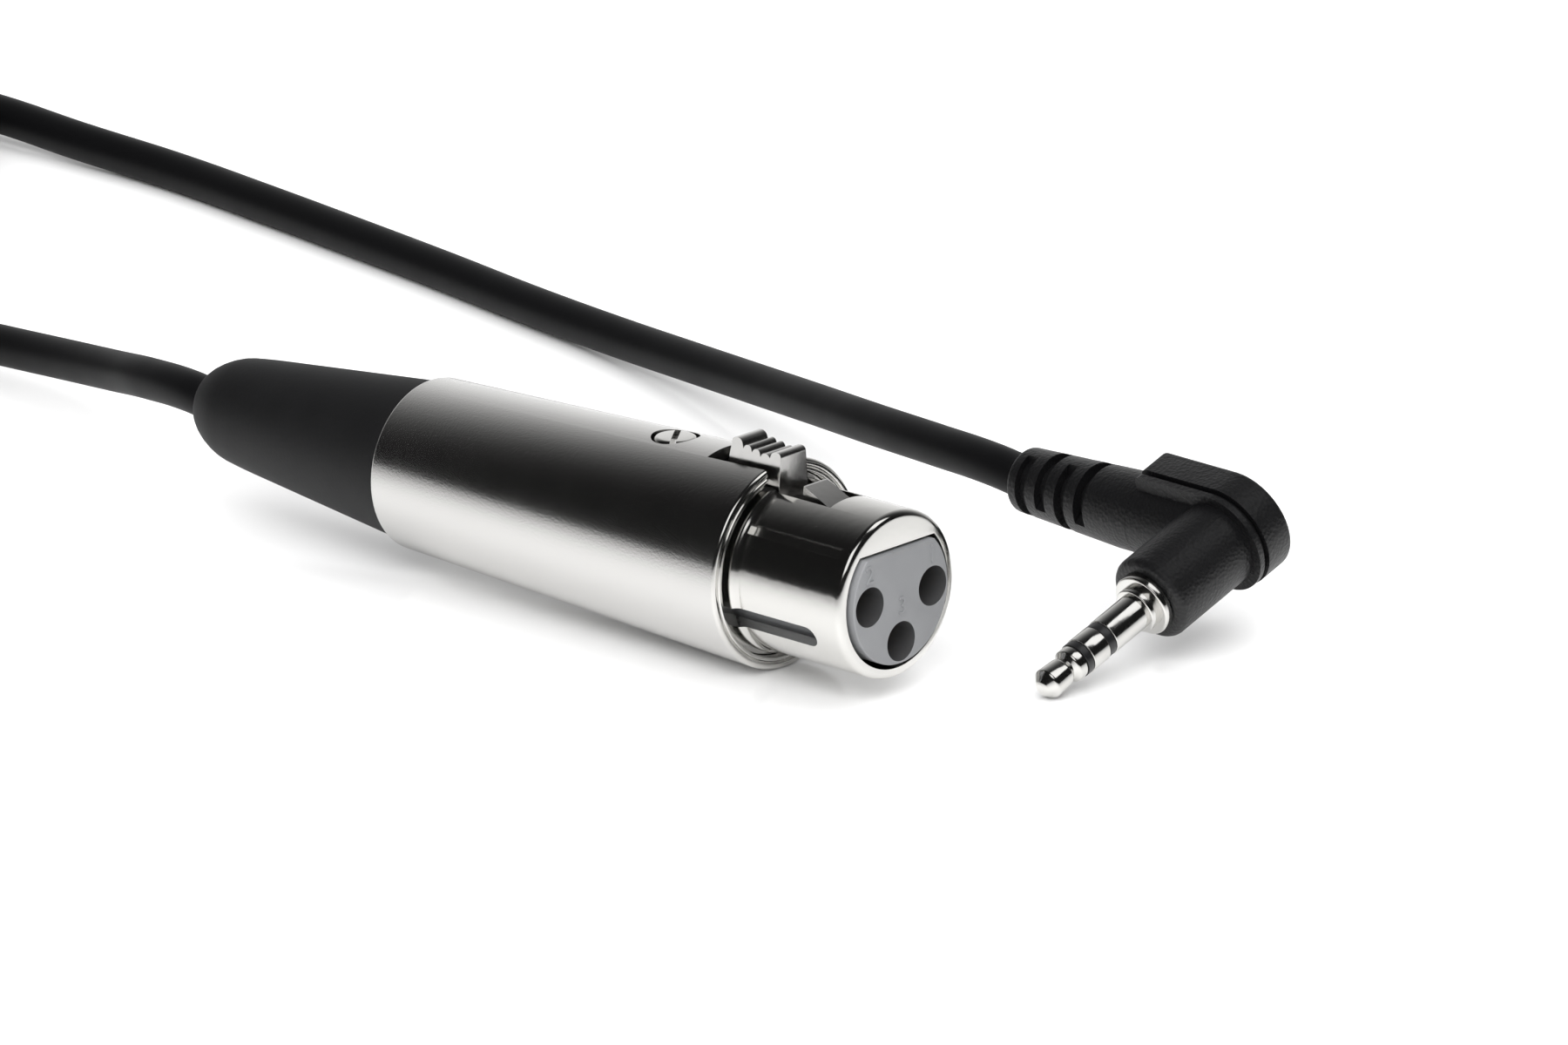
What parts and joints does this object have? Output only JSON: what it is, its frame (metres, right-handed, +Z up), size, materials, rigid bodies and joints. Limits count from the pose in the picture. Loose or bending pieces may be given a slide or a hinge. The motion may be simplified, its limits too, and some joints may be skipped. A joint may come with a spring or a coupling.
{
  "type": "xlr cable coil",
  "caption": "Short audio lead: metal-shelled XLR line socket with thumb latch, round black cable with its spare length coiled, and a moulded right-angle 3.5 mm stereo plug.",
  "frame": {"origin": "middle of the XLR socket's front face, between its three contacts", "axes": "+X out of the socket along the connector, +Z up from the surface the lead lies on (9.8 mm below the origin), +Y towards the side the plug lies on"},
  "size_m": [0.2546, 0.0835, 0.0212],
  "materials": {
    "satin_nickel": "satin bead-blasted nickel plate",
    "polished_nickel": "bright polished nickel plate",
    "spring_steel": "bright drawn wire",
    "brass": "bright turned",
    "grey_insert_plastic": "fine matte moulding",
    "white_plastic": "smooth moulding",
    "black_insulator": "smooth, slightly glossy",
    "black_rubber": "matte moulded rubber",
    "black_pvc": "satin jacket",
    "black_overmould": "fine pebble-grain moulding",
    "tie_fabric": "woven hook-and-loop tape",
    "core_red": "smooth wire insulation",
    "core_white": "smooth wire insulation",
    "core_copper": "twisted bare copper screen"
  },
  "bodies": {
    "lead": {"handle_shell": "satin_nickel", "nose_shell": "polished_nickel", "contact_insert": "grey_insert_plastic", "socket_contact_1": "brass", "socket_contact_2": "brass", "socket_contact_3": "brass", "conductor_1": "core_copper", "conductor_2": "core_red", "conductor_3": "core_white", "latch_spring": "spring_steel", "latch_pin": "spring_steel", "retaining_screw": "polished_nickel", "screw_bush": "brass", "cable_collet": "white_plastic", "rubber_boot": "black_rubber", "jacket_in_boot": "black_pvc", "plug_tip_contact": "polished_nickel", "plug_front_insulator": "black_insulator", "plug_ring_contact": "polished_nickel", "plug_rear_insulator": "black_insulator", "plug_sleeve_contact": "polished_nickel", "plug_body": "black_overmould", "plug_cap": "black_overmould", "plug_strain_relief": "black_overmould", "jacket_in_plug": "black_pvc", "plug_conductor_tip": "core_red", "plug_conductor_ring": "core_white", "plug_conductor_sleeve": "core_copper", "cable_boot_run": "black_pvc", "cable_coil": "black_pvc", "cable_plug_run": "black_pvc", "coil_tie": "tie_fabric"},
    "latch": {"latch_lever": "polished_nickel"}
  },
  "joints": [
    {"name": "latch_press", "type": "hinge", "parent": "lead", "child": "latch", "pos_m": [-0.0226, 0, 0.0056], "axis": [0, 1, 0], "range_deg": [0, 5], "stiffness_Nm_per_rad": 0.05, "springref_deg": -4.58, "deforming": ["latch_spring"]}
  ]
}
